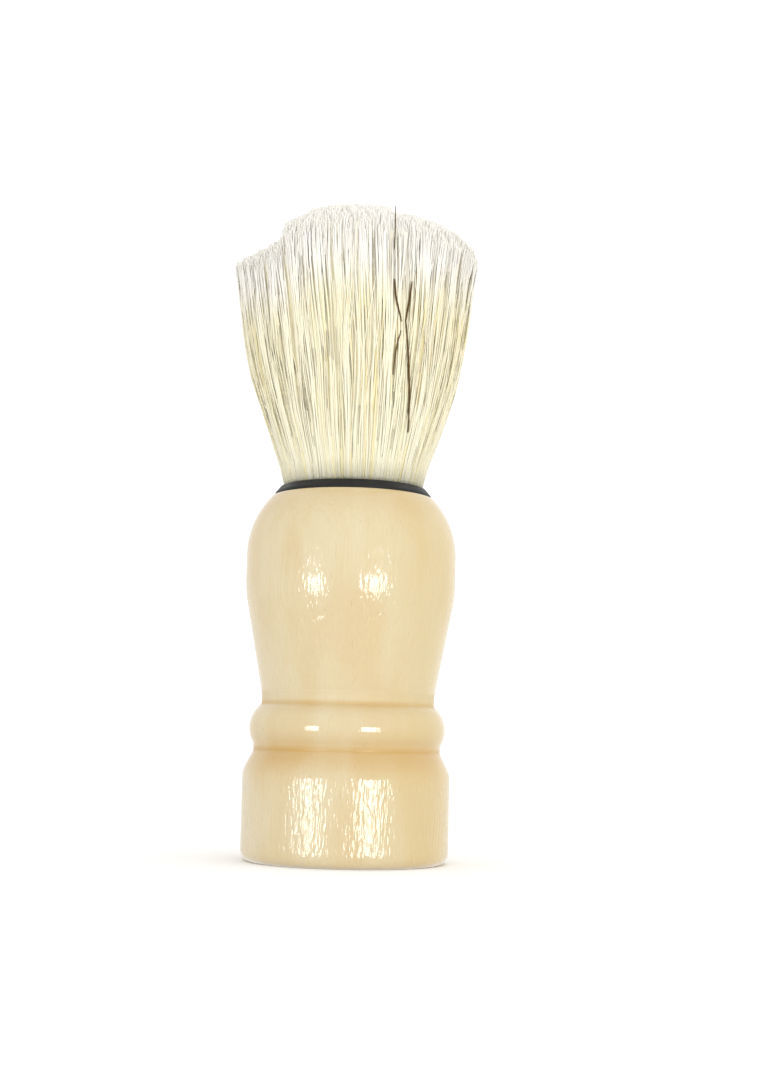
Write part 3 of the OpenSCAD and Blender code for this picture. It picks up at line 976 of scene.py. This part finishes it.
# One piece for each lock: its packed body and its share of every kind of strand, joined. The middle one rides
# the brush; the others have their places fixed in the world.
def makeHead(s):
    groups = growStrands(s)
    material = makeBristle(bristleSettings)
    for lock, name in enumerate(lockNames):
        parts = [packedBody(lock, (0.0, packedSettings["bake"]))]
        mine = [group["lock"] == lock for group in groups]
        weight = np.array([m.sum() * g["u"].shape[1] for m, g in zip(mine, groups)], float)
        edges = packedSettings["bake"] + (1 - packedSettings["bake"]) * np.cumsum([0, *weight]) / weight.sum()
        for number, (own, group) in enumerate(zip(mine, groups)):
            if not own.any():
                continue
            values = {
                key: np.broadcast_to(np.reshape(value, (len(own), -1)), group["u"].shape)[own]
                for key, value in group["values"].items()
            }
            shape = [group[key][own] for key in ("paths", "u", "thickness")]
            parts.append(strandMesh(f"part{number}", *shape, values, (edges[number], edges[number + 1])))
        chosen = {"selected_editable_objects": parts, "selected_objects": parts}
        with bpy.context.temp_override(active_object=parts[0], **chosen):
            bpy.ops.object.join()
        piece = parts[0]
        piece.name = piece.data.name = name.replace("_", "-") + "-bristles"
        piece.data.materials.append(material)
        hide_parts(name)
        if lock == 0:
            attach(piece, "brush")
        else:
            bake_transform(piece)


makeHead(headSettings)
print("bristles made")


insideSettings = {
    "handle_adhesive": ("gluedBed", screenColour(228, 214, 170), screenColour(206, 186, 132), 700.0, 0.35),
    "resin_plug": ("castResin", screenColour(196, 150, 70), screenColour(160, 108, 40), 400.0, 0.12),
    "knot_binding": ("waxedThread", screenColour(236, 230, 214), screenColour(206, 196, 168), 3000.0, 0.7),
    "knot_root": ("boundBristle", screenColour(214, 206, 170), screenColour(176, 164, 120), 3600.0, 0.6),
}


# One mottled material, from a light and a deep colour, the mottling's cells a metre and the roughness
def makeInside(name, light, deep, scale, roughness):
    material, tree, shader = newMaterial(name)
    place = addNode(tree, "ShaderNodeTexCoord").outputs["Object"]
    vary, relief = addMottle(tree, place, Scale=scale, Relief=0.02 * mm)
    tree.links.new(mixColour(tree, vary, light, deep), shader.inputs["Base Color"])
    tree.links.new(mapRange(tree, vary, 0, 1, roughness, roughness + 0.1), shader.inputs["Roughness"])
    tree.links.new(relief, shader.inputs["Normal"])
    return material


for node, looks in insideSettings.items():
    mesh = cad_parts[node].data
    mesh.materials.clear()
    mesh.materials.append(makeInside(*looks))
print("inside pieces dressed")


stageSettings = {
    "floorRadius": 3.0,
    "floorSides": 96,
    "floorColour": screenColour(252, 252, 252),
    "worldColour": (1.0, 1.0, 1.0, 1.0),
    "worldStrength": 1.16,
    "worldSlope": 0.16,  # the right is lighter than the left by twice this share
    # softboxes: side angle and height angle from the brush to each, distance, width, height, and power
    "softboxes": [(-38, -3.4, 0.5, 0.125, 0.14, 0.54), (27, -3.4, 0.5, 0.175, 0.14, 0.76)],
    "aim": 0.03,  # height on the brush that they face
}


# A round floor as a fan about its middle, a white world, stronger on the right, and two softboxes in front
def makeStage(s):
    sides = s["floorSides"]
    angle = np.linspace(0, 2 * np.pi, sides, endpoint=False)
    rim = s["floorRadius"] * np.stack([np.cos(angle), np.sin(angle), 0 * angle], 1)
    around = np.arange(sides)
    fan = np.stack([around, (around + 1) % sides, np.full(sides, sides)], 1)
    floor = meshFrom("floor", np.concatenate([rim, [[0, 0, 0]]]), [fan], smooth=False)
    material, tree, shader = newMaterial("paleFloor")
    shader.inputs["Base Color"].default_value = s["floorColour"]
    shader.inputs["Roughness"].default_value = 0.9
    shader.inputs["Specular IOR Level"].default_value = 0.0
    floor.data.materials.append(material)
    floor.visible_glossy = False

    world = bpy.data.worlds.new("studio")
    world.use_nodes = True
    tree = world.node_tree
    background = next(n for n in tree.nodes if n.type == "BACKGROUND")
    background.inputs["Color"].default_value = s["worldColour"]
    # a little more light from the right than from the left, but an even white where the camera sees it
    place = addNode(tree, "ShaderNodeTexCoord").outputs["Generated"]
    across = addNode(tree, "ShaderNodeSeparateXYZ")
    tree.links.new(place, across.inputs[0])
    low, high = (s["worldStrength"] * (1 + side * s["worldSlope"]) for side in (-1, 1))
    strength = mapRange(tree, across.outputs["X"], -1, 1, low, high)
    seen = addNode(tree, "ShaderNodeLightPath").outputs["Is Camera Ray"]
    seenWhite = mathNode(tree, "MULTIPLY", seen, s["worldStrength"])
    tree.links.new(mathNode(tree, "MAXIMUM", strength, seenWhite), background.inputs["Strength"])
    bpy.context.scene.world = world

    for number, (side, up, distance, wide, high, power) in enumerate(s["softboxes"]):
        light = bpy.data.lights.new(f"softbox{number}", "AREA")
        light.shape, light.size, light.size_y, light.energy = "RECTANGLE", wide, high, power
        box = bpy.data.objects.new(light.name, light)
        bpy.context.scene.collection.objects.link(box)
        a, e = math.radians(side), math.radians(up)
        box.location = (
            distance * math.cos(e) * math.sin(a),
            -distance * math.cos(e) * math.cos(a),
            s["aim"] + distance * math.sin(e),
        )
        box.rotation_euler = (math.radians(90) + e, 0, a)
    view = bpy.context.scene.view_settings
    view.view_transform, view.look, view.exposure, view.gamma = "Standard", "None", 0.0, 1.0


makeStage(stageSettings)
print("stage set")
